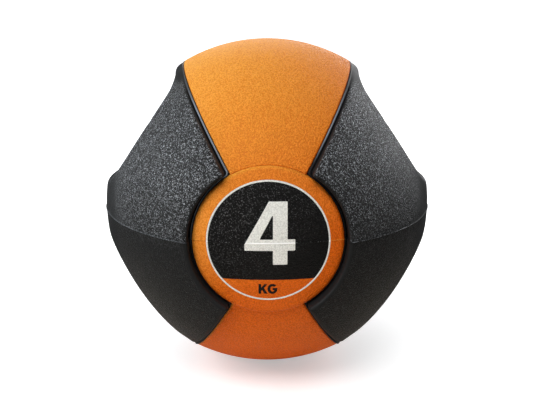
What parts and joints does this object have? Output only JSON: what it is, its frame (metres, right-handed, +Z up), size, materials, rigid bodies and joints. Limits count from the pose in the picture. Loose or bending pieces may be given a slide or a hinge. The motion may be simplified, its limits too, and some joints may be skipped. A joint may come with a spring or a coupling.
{
  "type": "medicine ball",
  "caption": "Hollow rubber medicine ball with an orange band, black flanks, a hand opening with a grip bar on each side, and a round weight dial at the front and the rear.",
  "frame": {"origin": "centre of the ball, on the mould seam", "axes": "+Z up, square to the mould seam; -Y out of the front dial; +X out of the right grip"},
  "size_m": [0.2272, 0.2348, 0.23],
  "materials": {
    "orange_rubber": "satin",
    "black_rubber": "satin",
    "dial_black": "satin",
    "pale_print": "satin",
    "core_rubber": "matte",
    "bladder_rubber": "matte",
    "valve_rubber": "satin"
  },
  "bodies": {
    "root": {"crown_panel": "orange_rubber", "base_panel": "orange_rubber", "front_bezel_upper": "orange_rubber", "front_bezel_lower": "orange_rubber", "rear_bezel_upper": "orange_rubber", "rear_bezel_lower": "orange_rubber", "front_dial": "dial_black", "rear_dial": "dial_black", "front_weight_field": "orange_rubber", "rear_weight_field": "orange_rubber", "front_ring": "pale_print", "rear_ring": "pale_print", "front_figure": "pale_print", "rear_figure": "pale_print", "front_letters": "dial_black", "rear_letters": "dial_black", "left_flank_upper": "black_rubber", "left_flank_lower": "black_rubber", "right_flank_upper": "black_rubber", "right_flank_lower": "black_rubber", "carcass_upper": "core_rubber", "carcass_lower": "core_rubber", "seam_band": "core_rubber", "bladder": "bladder_rubber", "valve_body": "valve_rubber", "valve_plug": "valve_rubber"}
  },
  "joints": []
}
